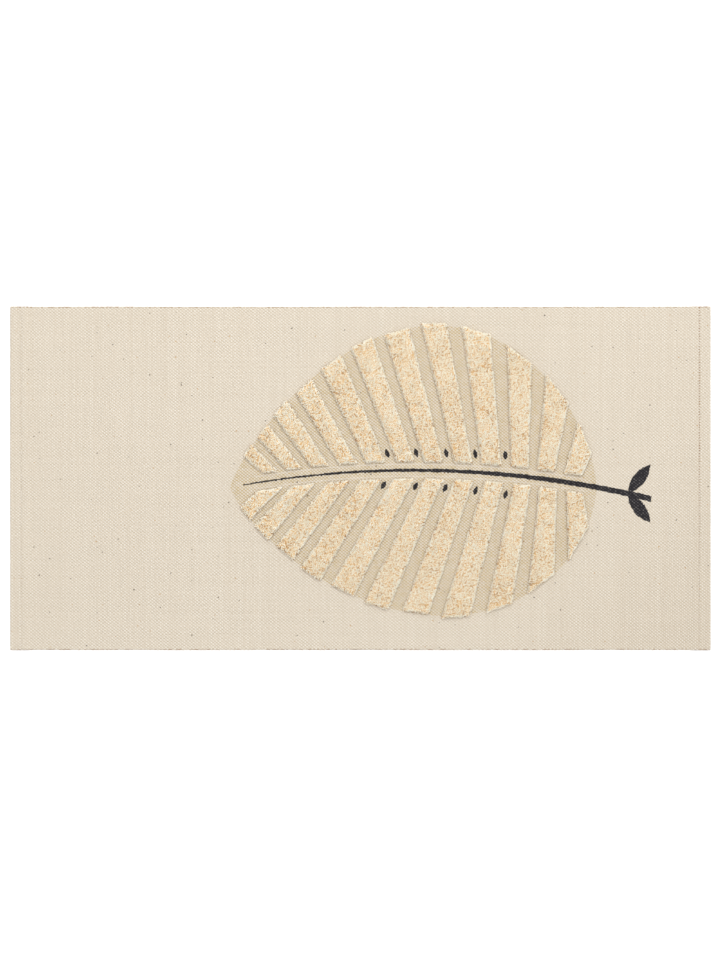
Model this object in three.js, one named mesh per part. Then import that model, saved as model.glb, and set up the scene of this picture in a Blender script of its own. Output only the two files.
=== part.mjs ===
// A child's cotton rug, lying flat: one piece of heavy plain-woven cloth with a
// hem turned under at each end, and a broad leaf drawn on it in raised ribs of
// looped cotton pile.
//
// Millimetres, +Z up. The origin is on the floor under the middle of the rug.
// +X runs along the rug towards the leaf's stalk, and +Y across it.

import * as THREE from "three";

// Driving dimensions of the woven ground
const LENGTH = 1400; // over the two folded ends
const WIDTH = 687; // over the two selvedges
const CLOTH = 3; // thickness of the weave
const HEM = 26; // how far the cloth is turned under at each end
const HEM_AIR = 0.4; // between the hem's two layers
const SETTLE = 18; // run over which the cloth comes down from the hem to the floor
const SEAM_IN = 22.5; // from the folded end to the row of stitches
const SEAM_HALF = 3; // half the width of the dent that the stitches pull
const SEAM_DENT = 0.7;

// Driving dimensions of the leaf. Its midrib runs from the stalk's end, at 0, to the tip, at 1.
const LEAF_BASE_X = 472;
const LEAF_TIP_X = -260;
const LEAF_HALF_WIDTH = 290;
const LEAF_AXIS_Y = -18;
const LEAF_BOW = 34; // how far the midrib bows towards +Y
const BASE_FULLNESS = 0.6; // a smaller number makes the stalk's end rounder
const TIP_FULLNESS = 0.8; // a smaller number makes the tip rounder
const MIDRIB_CLEAR = 17; // from the midrib's middle to the roots of the ribs

// Driving dimensions of the pile
const PILE = 11; // height over the cloth
const SEAT = 0.3; // air between the pile and the cloth
const SPLAY = 1; // how far the pile leans out low on its sides
const SPLAY_HEIGHT = 3.6;
const SHOULDER_IN = 1.8; // the sides come in again as they rise to a round shoulder
const SHOULDER_HEIGHT = 7.8;
const CROWN_IN = 5.4; // where the shoulder ends and the top begins
const CROWN_DROP = 1.3; // how much lower the top's edge is than its middle
const LUMP = 0.7; // unevenness of the top
const FRAY = 0.5; // unevenness of the sides
const ROW_STEP = 24; // between the sections of a rib
const COLUMNS = 4; // across a rib

// Each rib of pile. side: +1 towards +Y. along: its place on the midrib. lean: its angle to the
// midrib, in degrees, from the tip's direction. root and tip: its widths at the midrib and at the
// leaf's outline. past: how far it runs over that outline.
const RIBS = [
  { side: +1, along: 0.075, lean: 102, root: 31, tip: 46, past: 2 },
  { side: +1, along: 0.143, lean: 91, root: 33, tip: 51, past: 4 },
  { side: +1, along: 0.211, lean: 84, root: 33, tip: 49, past: -2 },
  { side: +1, along: 0.285, lean: 79, root: 36, tip: 54, past: 3 },
  { side: +1, along: 0.359, lean: 75, root: 33, tip: 48, past: 5 },
  { side: +1, along: 0.439, lean: 73, root: 35, tip: 51, past: -1 },
  { side: +1, along: 0.513, lean: 70, root: 32, tip: 46, past: 3 },
  { side: +1, along: 0.593, lean: 68, root: 34, tip: 47, past: 1 },
  { side: +1, along: 0.667, lean: 64, root: 30, tip: 41, past: -2 },
  { side: +1, along: 0.741, lean: 61, root: 29, tip: 38, past: 2 },
  { side: +1, along: 0.809, lean: 57, root: 25, tip: 32, past: 0 },
  { side: +1, along: 0.871, lean: 52, root: 21, tip: 26, past: 2 },
  { side: -1, along: 0.064, lean: 105, root: 30, tip: 45, past: 3 },
  { side: -1, along: 0.132, lean: 94, root: 33, tip: 49, past: -1 },
  { side: -1, along: 0.2, lean: 86, root: 32, tip: 47, past: 3 },
  { side: -1, along: 0.274, lean: 79, root: 35, tip: 53, past: 4 },
  { side: -1, along: 0.354, lean: 73, root: 34, tip: 50, past: -2 },
  { side: -1, along: 0.434, lean: 67, root: 33, tip: 48, past: 3 },
  { side: -1, along: 0.514, lean: 61, root: 35, tip: 49, past: 0 },
  { side: -1, along: 0.6, lean: 55, root: 32, tip: 46, past: 4 },
  { side: -1, along: 0.686, lean: 49, root: 31, tip: 43, past: -1 },
  { side: -1, along: 0.778, lean: 43, root: 29, tip: 39, past: 2 },
  { side: -1, along: 0.865, lean: 37, root: 26, tip: 33, past: 1 },
];

const MARCH = 0.5; // step in which a rib's edge is followed to the leaf's outline
const CURVE_SEGMENTS = 8;

const ecruCotton = new THREE.MeshStandardMaterial({ color: 0xe4d9c6, roughness: 0.95, metalness: 0 });
const creamPile = new THREE.MeshStandardMaterial({ color: 0xecdcbe, roughness: 1, metalness: 0 });

// The leaf's outline

const midribX = (along) => THREE.MathUtils.lerp(LEAF_BASE_X, LEAF_TIP_X, along);
const midribY = (along) => LEAF_AXIS_Y + LEAF_BOW * 4 * along * (1 - along);
const alongAt = (x) => (x - LEAF_BASE_X) / (LEAF_TIP_X - LEAF_BASE_X);

function bladeHalfWidth(along) {
  if (along <= 0 || along >= 1) return 0;
  const widest = BASE_FULLNESS / (BASE_FULLNESS + TIP_FULLNESS);
  const fromBase = (along / widest) ** BASE_FULLNESS;
  const fromTip = ((1 - along) / (1 - widest)) ** TIP_FULLNESS;
  return LEAF_HALF_WIDTH * fromBase * fromTip;
}

// How far a point is from the midrib, measured across the rug
const offMidrib = (point) => Math.abs(point.y - midribY(alongAt(point.x)));
const onBlade = (point) => offMidrib(point) < bladeHalfWidth(alongAt(point.x));

function midribHeading(along) {
  const slope = LEAF_BOW * 4 * (1 - 2 * along);
  return new THREE.Vector2(LEAF_TIP_X - LEAF_BASE_X, slope).normalize();
}

// A rib's four corners on the cloth. Its long edges spread from root to tip, its root runs beside
// the midrib, and its tip follows the leaf's outline.
function ribCorners({ side, along, lean, root, tip, past }) {
  const start = new THREE.Vector2(midribX(along), midribY(along));
  const heading = midribHeading(along);
  heading.rotateAround(new THREE.Vector2(), THREE.MathUtils.degToRad(-side * lean));
  const across = new THREE.Vector2(-heading.y, heading.x);
  const onAxis = (run) => start.clone().addScaledVector(heading, run);

  let axisLength = MIDRIB_CLEAR;
  while (onBlade(onAxis(axisLength))) axisLength += MARCH;

  const onEdge = (hand, run) => {
    const width = THREE.MathUtils.lerp(root, tip, run / axisLength);
    return onAxis(run).addScaledVector(across, (hand * width) / 2);
  };
  const edge = (hand) => {
    let first = 0;
    while (offMidrib(onEdge(hand, first)) < MIDRIB_CLEAR) first += MARCH;
    let last = first + MARCH;
    while (onBlade(onEdge(hand, last))) last += MARCH;
    return { root: onEdge(hand, first), tip: onEdge(hand, last + past) };
  };
  return { right: edge(-1), left: edge(+1) };
}

// The pile of one rib

// Low waves that never repeat over one rib, from -1 to 1
const waves = (x, y) => (Math.sin(x * 0.19 + y * 0.07) + Math.sin(y * 0.23 - x * 0.11)) / 2;

// A point of the rib's four-cornered plan, grown by a margin on every side.
// u runs from root to tip and v from the right edge to the left one.
function planPoint({ right, left }, u, v, margin) {
  const length = (right.root.distanceTo(right.tip) + left.root.distanceTo(left.tip)) / 2;
  const width = (right.root.distanceTo(left.root) + right.tip.distanceTo(left.tip)) / 2;
  const grownU = 0.5 + (u - 0.5) * (1 + (2 * margin) / length);
  const grownV = 0.5 + (v - 0.5) * (1 + (2 * margin) / width);
  const onRight = right.root.clone().lerp(right.tip, grownU);
  const onLeft = left.root.clone().lerp(left.tip, grownU);
  return onRight.lerp(onLeft, grownV);
}

// The plan's rim as [row, column] pairs, counter-clockwise seen from above
function rimCells(rows, columns) {
  const rim = [];
  for (let row = 0; row < rows; row++) rim.push([row, 0]);
  for (let column = 0; column < columns; column++) rim.push([rows, column]);
  for (let row = rows; row > 0; row--) rim.push([row, columns]);
  for (let column = columns; column > 0; column--) rim.push([0, column]);
  return rim;
}

function pileBlock(corners) {
  const rows = Math.max(3, Math.round(corners.right.root.distanceTo(corners.right.tip) / ROW_STEP));
  const points = [];
  const faces = [];
  const addPoint = (flat, z) => points.push(flat.x, flat.y, z) / 3 - 1;
  const addQuad = (a, b, c, d) => faces.push(a, b, c, a, c, d);

  // The lumpy top, a little lower at its edge
  const top = [];
  for (let row = 0; row <= rows; row++) {
    top.push([]);
    for (let column = 0; column <= COLUMNS; column++) {
      const flat = planPoint(corners, row / rows, column / COLUMNS, -CROWN_IN);
      const atEdge = row === 0 || row === rows || column === 0 || column === COLUMNS;
      const drop = atEdge ? CROWN_DROP : LUMP;
      top[row].push(addPoint(flat, PILE - drop + LUMP * waves(flat.x, flat.y)));
    }
  }
  for (let row = 0; row < rows; row++)
    for (let column = 0; column < COLUMNS; column++)
      addQuad(top[row][column], top[row + 1][column], top[row + 1][column + 1], top[row][column + 1]);

  // The sides lean out from the foot and come in again over a round shoulder
  const rim = rimCells(rows, COLUMNS);
  const ring = (margin, z, unevenness) =>
    rim.map(([row, column]) => {
      const even = planPoint(corners, row / rows, column / COLUMNS, margin);
      const uneven = margin + unevenness * waves(even.x * 3, even.y * 3);
      return addPoint(planPoint(corners, row / rows, column / COLUMNS, uneven), z);
    });
  const crown = rim.map(([row, column]) => top[row][column]);
  const shoulder = ring(-SHOULDER_IN, SHOULDER_HEIGHT, FRAY);
  const flank = ring(SPLAY, SPLAY_HEIGHT, FRAY);
  const foot = ring(0, 0, 0);
  const levels = [crown, shoulder, flank, foot];
  for (let level = 0; level + 1 < levels.length; level++) {
    const [upper, lower] = [levels[level], levels[level + 1]];
    for (let k = 0; k < rim.length; k++) {
      const next = (k + 1) % rim.length;
      addQuad(upper[k], lower[k], lower[next], upper[next]);
    }
  }

  // The flat underside
  const footPlan = foot.map((index) => new THREE.Vector2(points[3 * index], points[3 * index + 1]));
  for (const [a, b, c] of THREE.ShapeUtils.triangulateShape(footPlan, []))
    faces.push(foot[c], foot[b], foot[a]);

  const geometry = new THREE.BufferGeometry();
  geometry.setAttribute("position", new THREE.Float32BufferAttribute(points, 3));
  geometry.setIndex(faces);
  geometry.computeVertexNormals();
  return geometry;
}

// The woven ground

// The cloth's section at the +X end: the top up to the fold, then the hem's two layers back under
// it. The hem's cut edge stands just inside the place where the upper layer starts to come down.
function hemPath() {
  const end = LENGTH / 2;
  const foldRadius = CLOTH + HEM_AIR / 2;
  const foldX = end - foldRadius;
  const upper = 2 * CLOTH + HEM_AIR; // top of the upper layer
  const raisedFrom = end - HEM - 2; // the upper layer is level from here to the fold
  const settled = raisedFrom - SETTLE;
  const easing = SETTLE / 2;
  const seamX = end - SEAM_IN;

  const path = new THREE.Path();
  path.moveTo(settled, CLOTH);
  path.bezierCurveTo(settled + easing, CLOTH, raisedFrom - easing, upper, raisedFrom, upper);
  path.lineTo(seamX - SEAM_HALF, upper);
  path.quadraticCurveTo(seamX, upper - 2 * SEAM_DENT, seamX + SEAM_HALF, upper);
  path.lineTo(foldX, upper);
  path.absarc(foldX, foldRadius, foldRadius, Math.PI / 2, -Math.PI / 2, true);
  path.lineTo(end - HEM, 0);
  path.lineTo(end - HEM, CLOTH);
  path.lineTo(foldX, CLOTH);
  path.absarc(foldX, foldRadius, HEM_AIR / 2, -Math.PI / 2, Math.PI / 2, false);
  path.lineTo(raisedFrom, CLOTH + HEM_AIR);
  path.bezierCurveTo(raisedFrom - easing, CLOTH + HEM_AIR, settled + easing, 0, settled, 0);
  return path.getPoints(CURVE_SEGMENTS);
}

function wovenGround() {
  const farEnd = hemPath();
  const nearEnd = farEnd.map((point) => new THREE.Vector2(-point.x, point.y)).reverse();
  const section = new THREE.Shape([...farEnd, ...nearEnd]);
  const geometry = new THREE.ExtrudeGeometry(section, { depth: WIDTH, bevelEnabled: false });
  geometry.rotateX(Math.PI / 2);
  return geometry;
}

// The rug

const rug = new THREE.Group();

const ground = new THREE.Mesh(wovenGround(), ecruCotton);
ground.name = "ground_cloth";
ground.position.y = WIDTH / 2;
rug.add(ground);

const leaf = new THREE.Group();
leaf.position.z = CLOTH + SEAT;
rug.add(leaf);

const counts = { upper: 0, lower: 0 };
for (const row of RIBS) {
  const half = row.side > 0 ? "upper" : "lower";
  counts[half] += 1;
  const rib = new THREE.Mesh(pileBlock(ribCorners(row)), creamPile);
  rib.name = `pile_rib_${half}_${String(counts[half]).padStart(2, "0")}`;
  leaf.add(rib);
}

export default rug;
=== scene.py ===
# %% [markdown]
# # A child's cotton rug with a leaf in loop pile
#
# The rug is one piece of heavy plain weave that lies flat on the floor. Its two short ends are
# turned under and stitched, its two long edges are selvedges, and a broad leaf is printed on it,
# with ribs of raised cream loops. This lesson dresses the packed solids: a thin sheet on the
# cloth's own section, a weave and a print made of shader formulas, and yarn loops grown by
# Geometry Nodes on each rib.

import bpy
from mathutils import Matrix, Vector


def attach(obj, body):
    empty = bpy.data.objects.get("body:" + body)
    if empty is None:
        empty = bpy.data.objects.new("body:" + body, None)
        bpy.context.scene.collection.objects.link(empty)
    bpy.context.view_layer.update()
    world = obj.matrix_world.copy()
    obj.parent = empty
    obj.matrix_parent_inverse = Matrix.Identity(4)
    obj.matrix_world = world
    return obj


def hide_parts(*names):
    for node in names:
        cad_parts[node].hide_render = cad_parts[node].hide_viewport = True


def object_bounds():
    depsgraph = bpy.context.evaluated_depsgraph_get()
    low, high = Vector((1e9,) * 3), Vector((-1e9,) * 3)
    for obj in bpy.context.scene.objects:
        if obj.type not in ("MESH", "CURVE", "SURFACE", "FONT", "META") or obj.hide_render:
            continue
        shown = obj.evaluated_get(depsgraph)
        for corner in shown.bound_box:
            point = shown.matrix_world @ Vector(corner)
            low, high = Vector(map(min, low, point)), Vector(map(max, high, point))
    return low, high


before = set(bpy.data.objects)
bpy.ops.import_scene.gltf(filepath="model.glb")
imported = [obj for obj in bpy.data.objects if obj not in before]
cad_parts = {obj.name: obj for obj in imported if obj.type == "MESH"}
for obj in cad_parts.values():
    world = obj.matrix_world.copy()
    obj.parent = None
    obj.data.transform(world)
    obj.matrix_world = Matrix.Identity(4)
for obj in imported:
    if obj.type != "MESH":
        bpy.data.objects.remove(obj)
cad_low, cad_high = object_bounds()
rib_names = sorted(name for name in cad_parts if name.startswith("pile_rib_"))
print("solids:", len(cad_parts), "of which ribs of pile:", len(rib_names))

# %% [markdown]
# ## Colours and formulas
#
# Colours are easiest to think of as the 0 to 255 numbers of a picture, while shaders work in
# linear light, so one helper converts them. A second one lets a formula be written as a
# formula: a `Field` is a number that varies over a surface, and each sum or product of fields
# adds one Math node to the tree. Long chains of nodes would be the other way, and they are hard
# to read in a script.

# %% Colours and formulas
import math

import bmesh
import bpy
import numpy as np
from mathutils import Vector

MM = 0.001
scene = bpy.context.scene


def picture_colour(red, green, blue):
    """A colour given as picture values from 0 to 255, as linear RGBA."""
    linear = [((value / 255 + 0.055) / 1.055) ** 2.4 for value in (red, green, blue)]
    return (*linear, 1.0)


def calculate(tree, operation, *values):
    """One Math node. Each value is a Field or a plain number."""
    node = tree.nodes.new("ShaderNodeMath")
    node.operation = operation
    for socket, value in zip(node.inputs, values):
        if isinstance(value, Field):
            tree.links.new(value.socket, socket)
        else:
            socket.default_value = value
    return Field(tree, node.outputs[0])


class Field:
    """A number that varies over a surface. Arithmetic on it adds nodes to its tree."""

    def __init__(self, tree, socket):
        self.tree = tree
        self.socket = socket

    def __add__(self, other):
        return calculate(self.tree, "ADD", self, other)

    def __sub__(self, other):
        return calculate(self.tree, "SUBTRACT", self, other)

    def __rsub__(self, other):
        return calculate(self.tree, "SUBTRACT", other, self)

    def __mul__(self, other):
        return calculate(self.tree, "MULTIPLY", self, other)

    def __truediv__(self, other):
        return calculate(self.tree, "DIVIDE", self, other)

    def __pow__(self, other):
        return calculate(self.tree, "POWER", self, other)

    def __abs__(self):
        return calculate(self.tree, "ABSOLUTE", self)

    __radd__ = __add__
    __rmul__ = __mul__

    def floor(self):
        return calculate(self.tree, "FLOOR", self)

    def fraction(self):
        return calculate(self.tree, "FRACT", self)

    def sine(self):
        return calculate(self.tree, "SINE", self)

    def root(self):
        return calculate(self.tree, "SQRT", self)

    def at_least(self, other):
        return calculate(self.tree, "MAXIMUM", self, other)

    def at_most(self, other):
        return calculate(self.tree, "MINIMUM", self, other)

    def step_up(self, low, high):
        """0 below low, 1 above high, and smooth between them."""
        node = self.tree.nodes.new("ShaderNodeMapRange")
        node.interpolation_type = "SMOOTHSTEP"
        self.tree.links.new(self.socket, node.inputs["Value"])
        node.inputs["From Min"].default_value = low
        node.inputs["From Max"].default_value = high
        return Field(self.tree, node.outputs["Result"])


print("fields know", sum(not name.startswith("__") for name in vars(Field)), "named steps")

# %% [markdown]
# Patterns come from a few texture nodes. Noise gives soft clouds, White Noise gives one number to
# each thread or crossing, and a Mix node blends two colours. Cotton is matt, so one function sets
# up every yarn's shader with a faint sheen, and another turns a field into relief.

# %% Noise, blends and matt cotton
def vector_of(tree, x, y, z=0.0):
    """Three fields or numbers as one vector socket."""
    node = tree.nodes.new("ShaderNodeCombineXYZ")
    for socket, value in zip(node.inputs, (x, y, z)):
        if isinstance(value, Field):
            tree.links.new(value.socket, socket)
        else:
            socket.default_value = value
    return node.outputs["Vector"]


def cloudiness(tree, vector, scale, detail=2.0):
    """Noise from about 0 to 1, with the given number of lumps to a metre of the vector."""
    node = tree.nodes.new("ShaderNodeTexNoise")
    node.inputs["Scale"].default_value = scale
    node.inputs["Detail"].default_value = detail
    tree.links.new(vector, node.inputs["Vector"])
    return Field(tree, node.outputs["Fac"])


def chance(tree, vector):
    """A different number from 0 to 1 for every different vector."""
    node = tree.nodes.new("ShaderNodeTexWhiteNoise")
    node.noise_dimensions = "3D"
    tree.links.new(vector, node.inputs["Vector"])
    return Field(tree, node.outputs["Value"])


def blended(tree, share, first, second):
    """A colour between two others, each a socket or a fixed colour."""
    node = tree.nodes.new("ShaderNodeMix")
    node.data_type = "RGBA"
    tree.links.new(share.socket, node.inputs["Factor"])
    for name, colour in (("A", first), ("B", second)):
        socket = next(s for s in node.inputs if s.name == name and s.type == "RGBA")
        if isinstance(colour, bpy.types.NodeSocket):
            tree.links.new(colour, socket)
        else:
            socket.default_value = colour
    return next(s for s in node.outputs if s.type == "RGBA")


def matt_material(name, roughness, sheen):
    """A cloth material with its tree, its shader and its Object coordinates as three fields."""
    material = bpy.data.materials.new(name)
    material.use_nodes = True
    tree = material.node_tree
    shader = tree.nodes["Principled BSDF"]
    shader.inputs["Roughness"].default_value = roughness
    shader.inputs["Specular IOR Level"].default_value = 0.08
    shader.inputs["Sheen Weight"].default_value = sheen
    shader.inputs["Sheen Roughness"].default_value = 0.6
    place = tree.nodes.new("ShaderNodeTexCoord").outputs["Object"]
    split = tree.nodes.new("ShaderNodeSeparateXYZ")
    tree.links.new(place, split.inputs["Vector"])
    x, y, z = (Field(tree, socket) for socket in split.outputs)
    return material, tree, shader, x, y, z


def raise_surface(tree, shader, height, depth):
    """Uses a field from 0 to 1 as relief of the given depth in metres."""
    bump = tree.nodes.new("ShaderNodeBump")
    bump.inputs["Distance"].default_value = depth
    tree.links.new(height.socket, bump.inputs["Height"])
    tree.links.new(bump.outputs["Normal"], shader.inputs["Normal"])


print("pattern helpers ready")

# %% [markdown]
# ## The camera
#
# The photograph is a flat lay, taken from straight above with a long lens. The rug's length
# fills 700 of the picture's 720 pixels, and that sets the camera's height. The rug's middle is
# a pixel or two off the picture's middle, so the camera stands that much to the side.

# %% A camera looking straight down
PICTURE_WIDTH_PX = 720
PICTURE_HEIGHT_PX = 960
RUG_LENGTH_PX = 699.8
RUG_MIDDLE_PX = (360.4, 478.3)
LENS = 85.0
SENSOR = 36.0

rug_length = cad_high.x - cad_low.x
rug_width = cad_high.y - cad_low.y
metres_per_px = rug_length / RUG_LENGTH_PX
picture_height = PICTURE_HEIGHT_PX * metres_per_px
camera_height = picture_height / SENSOR * LENS
aside = (PICTURE_WIDTH_PX / 2 - RUG_MIDDLE_PX[0]) * metres_per_px
down = (RUG_MIDDLE_PX[1] - PICTURE_HEIGHT_PX / 2) * metres_per_px

camera = bpy.data.objects.new("camera", bpy.data.cameras.new("camera"))
camera.data.lens = LENS
camera.data.sensor_width = SENSOR
camera.data.clip_end = 100.0
camera.location = (aside, down, camera_height)
scene.collection.objects.link(camera)
scene.camera = camera
print(f"camera {camera_height:.2f} m over the rug, {metres_per_px / MM:.3f} mm to a pixel")

# %% [markdown]
# ## The woven ground
#
# The real cloth is about 3 mm thick, and at each end it is folded under itself and sewn down.
# A flat box would lose that fold, so the sheet follows the solid's own section: a line along the
# middle of the cloth's thickness, from one cut edge, round the fold, over the rug and round the
# other fold, thinner under the stitches.

# %% The line along the middle of the cloth
CLOTH = 3.0 * MM
HEM = 26.0 * MM
HEM_AIR = 0.4 * MM
HEM_CLEAR = 2.0 * MM  # the upper layer stays level this far past the hem's cut edge
SETTLE = 18.0 * MM
SEAM_IN = 22.5 * MM
SEAM_HALF = 3.0 * MM
SEAM_DENT = 0.5 * MM
MAIN_STEP = 9.0 * MM
FOLD_STEPS = 12

rug_end = rug_length / 2
fold_radius = CLOTH + HEM_AIR / 2
middle_radius = (CLOTH + HEM_AIR) / 2
fold_x = rug_end - fold_radius
raised_x = rug_end - HEM - HEM_CLEAR
settled_x = raised_x - SETTLE
seam_x = rug_end - SEAM_IN
main_z = CLOTH / 2
upper_z = CLOTH + HEM_AIR + CLOTH / 2


def eased(share):
    return share * share * (3 - 2 * share)


def end_line():
    """Points of the +X half, from the rug's middle to the hem's cut edge: x, z and thickness."""
    points = [(x, main_z, CLOTH) for x in np.linspace(0, settled_x, round(settled_x / MAIN_STEP))]
    for share in np.linspace(0, 1, 10)[1:]:
        rise = (upper_z - main_z) * eased(share)
        points.append((settled_x + SETTLE * share, main_z + rise, CLOTH))
    for x in np.linspace(raised_x, fold_x, 17)[1:]:
        nearness = max(0.0, 1 - abs(x - seam_x) / SEAM_HALF)
        dent = SEAM_DENT * eased(nearness)
        points.append((x, upper_z - dent / 2, CLOTH - dent))
    for turn in np.linspace(math.pi / 2, -math.pi / 2, FOLD_STEPS + 1)[1:]:
        x = fold_x + middle_radius * math.cos(turn)
        points.append((x, fold_radius + middle_radius * math.sin(turn), CLOTH))
    for x in np.linspace(fold_x, rug_end - HEM, 5)[1:]:
        points.append((x, main_z, CLOTH))
    return np.array(points)


half_line = end_line()
mirrored = half_line[:0:-1] * np.array([-1, 1, 1])
section = np.vstack([mirrored, half_line])

# %% [markdown]
# Each point of that line is swept across the rug. The cloth thins to a round edge at the selvedges,
# which wander a little, and its middle rises and falls by half a millimetre, as laid cloth does.

# %% Places across the cloth, from selvedge to selvedge
SELVEDGE_ROUND = 1.6 * MM
SELVEDGE_TURN = 0.5 * MM  # the weft's turns stand this much outside the cloth's own edge
ACROSS_STEP = 9.0 * MM
EDGE_WANDER = 0.25 * MM
UNEVEN = 0.5 * MM
FLAT_NEAR_HEM = 60.0 * MM

cloth_half = rug_width / 2 - SELVEDGE_TURN


def slow_waves(x, y):
    """Low swells of the cloth, from 0 to 1, with no repeat over the rug."""
    waves = np.sin(9.1 * x + 3.7 * y) + np.sin(14.3 * y - 5.9 * x + 1.3) + np.sin(23.0 * x + 17.0 * y)
    return 0.5 + waves / 6


def swell(x, y):
    """How much the cloth's middle is lifted at a place: nothing near the hems."""
    return UNEVEN * slow_waves(x, y) * np.clip((settled_x - np.abs(x)) / FLAT_NEAR_HEM, 0, 1)


def edge_wander(x, side):
    return EDGE_WANDER * (np.sin(11.0 * x + side) + np.sin(27.0 * x + 2.1 * side)) / 2


rounding = np.array([0.0, 0.12, 0.35, 0.7, 1.0])
near_edge = cloth_half - SELVEDGE_ROUND * rounding
inner = np.linspace(-near_edge[-1], near_edge[-1], round(2 * near_edge[-1] / ACROSS_STEP))
stations = np.concatenate([-near_edge[:-1], inner, near_edge[-2::-1]])
roundness = np.sqrt(1 - (1 - rounding[:-1]) ** 2)
fullness = np.concatenate([roundness, np.ones(len(inner)), roundness[::-1]])
fullness = 0.35 + 0.65 * fullness
print(len(stations), "places across the cloth")

# %% [markdown]
# The cloth's upper and lower faces are the section's points, pushed out along the section's normal
# by half the thickness. Both are grids, and narrow faces along the four edges close them.

# %% The cloth as a closed sheet
direction = np.gradient(section[:, :2], axis=0)
direction /= np.linalg.norm(direction, axis=1)[:, None]
normal = np.column_stack([-direction[:, 1], direction[:, 0]])

on_floor = np.abs(section[:, 0]) < settled_x
lies_open = (on_floor & (np.abs(section[:, 1] - main_z) < 1e-9)).astype(float)


def cloth_layer(side):
    """The cloth's face on one side of its middle line, as points[section, station]."""
    x = section[:, None, 0] + side * normal[:, None, 0] * section[:, None, 2] / 2 * fullness[None]
    z = section[:, None, 1] + side * normal[:, None, 1] * section[:, None, 2] / 2 * fullness[None]
    edge = np.sign(stations)[None] * (np.abs(stations) / cloth_half)[None] ** 8
    y = stations[None] + edge * edge_wander(x, np.sign(stations)[None])
    z = z + swell(x, y) * lies_open[:, None]
    return np.stack([x, y, z], axis=-1)


def grid_faces(rows, columns, offset, flipped):
    corner = offset + np.arange(rows - 1)[:, None] * columns + np.arange(columns - 1)[None]
    quads = np.stack([corner, corner + columns, corner + columns + 1, corner + 1], axis=-1)
    quads = quads.reshape(-1, 4)
    return quads[:, ::-1] if flipped else quads


def rim_faces(rows, columns):
    """The narrow faces that join the two layers along their four edges."""
    count = rows * columns
    down_side = np.arange(rows) * columns
    edges = [
        np.arange(columns),
        down_side + columns - 1,
        (rows - 1) * columns + np.arange(columns)[::-1],
        down_side[::-1],
    ]
    faces = [np.stack([e[:-1], e[1:], e[1:] + count, e[:-1] + count], axis=-1) for e in edges]
    return np.vstack(faces)


def mesh_object(name, points, faces, material=None):
    mesh = bpy.data.meshes.new(name)
    mesh.from_pydata([tuple(p) for p in points], [], [tuple(int(i) for i in f) for f in faces])
    mesh.validate()
    made = bpy.data.objects.new(name, mesh)
    scene.collection.objects.link(made)
    if material:
        mesh.materials.append(material)
    return made


def outward(piece):
    """Turns every face outwards and shades it smooth."""
    work = bmesh.new()
    work.from_mesh(piece.data)
    bmesh.ops.recalc_face_normals(work, faces=work.faces)
    work.to_mesh(piece.data)
    work.free()
    piece.data.shade_smooth()
    return piece


rows, columns = len(section), len(stations)
layers = np.vstack([cloth_layer(+1).reshape(-1, 3), cloth_layer(-1).reshape(-1, 3)])
cloth_faces = np.vstack([
    grid_faces(rows, columns, 0, False),
    grid_faces(rows, columns, rows * columns, True),
    rim_faces(rows, columns),
])
ground = outward(mesh_object("ground_weave", layers, cloth_faces))
print(f"ground_weave: {len(ground.data.polygons)} faces, {2 * cloth_half:.3f} m between selvedges")

# %% [markdown]
# ## The weave and the print
#
# In a plain weave each weft thread goes over one warp thread and under the next. Here the weft
# runs across the rug. It has about 90,000 crossings, too many to model each as yarn, so the threads
# are a height field: each thread is a round ridge that rises and dips by a sine, and the higher of
# the two shows. The same field paints shade into the gaps, breaks up the ink and drives the bump.
# No thread is quite straight, so slow noise shifts threads to and fro, and each weft thread has
# thick and slack stretches.

# %% The threads of the weave
WEFT_PITCH = 3.61 * MM  # between weft threads, along the rug
WARP_PITCH = 2.97 * MM  # between warp threads, across it
WEAVE_DEPTH = 0.75 * MM
WEFT_LEAN = 0.3  # how far each weft bump slants towards the next one
DRIFT = 1.6  # slow shifts of the threads, in pitches
WAVER = 0.45  # short ones

woven, tree, weave_shader, x, y, z = matt_material("ecru_weave", roughness=0.92, sheen=0.04)
plan = vector_of(tree, x, y)

drift = cloudiness(tree, plan, 14.0) - 0.5
sway = cloudiness(tree, vector_of(tree, x, y, 4.0), 11.0) - 0.5
waver = cloudiness(tree, plan, 70.0) - 0.5
pick = x / WEFT_PITCH + drift * DRIFT + waver * WAVER
end = y / WARP_PITCH + sway * DRIFT - waver * WAVER
pick_number = pick.floor()
end_number = end.floor()

pick_tone = cloudiness(tree, vector_of(tree, pick_number * 7.31, y * 2.0), 1.0, 1.0)
end_tone = cloudiness(tree, vector_of(tree, end_number * 5.17, x * 2.0, 3.0), 1.0, 1.0)
slub = cloudiness(tree, vector_of(tree, pick_number * 3.7, y * 22.0, 8.0), 1.0, 1.0)
slack = cloudiness(tree, vector_of(tree, pick_number * 0.61, y * 13.0, 15.0), 1.0, 1.0)

pick_half = 0.44 + 0.08 * slub
pick_across = abs(pick.fraction() - 0.5) / pick_half
end_across = abs(end.fraction() - 0.5) / 0.47
pick_round = (1 - pick_across * pick_across).at_least(0.0).root()
end_round = (1 - end_across * end_across).at_least(0.0).root()
slant = (pick.fraction() - 0.5) * WEFT_LEAN
pick_rise = ((end + slant + pick_number) * math.pi).sine()
end_rise = ((pick + end_number) * math.pi).sine() * -1.0
fuzz = cloudiness(tree, plan, 900.0, 3.0)
pick_height = 0.48 * pick_round + 0.52 * pick_rise * (0.3 + 0.7 * slack.step_up(0.1, 0.7))
end_height = 0.44 * end_round + 0.22 * end_rise
weft_shows = (pick_height - end_height).step_up(-0.22, 0.26)
weave_height = (pick_height.at_least(end_height) + 0.2) + 0.14 * (fuzz - 0.5)
print("weave:", round(rug_length / WEFT_PITCH), "picks by", round(rug_width / WARP_PITCH), "ends")

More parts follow.
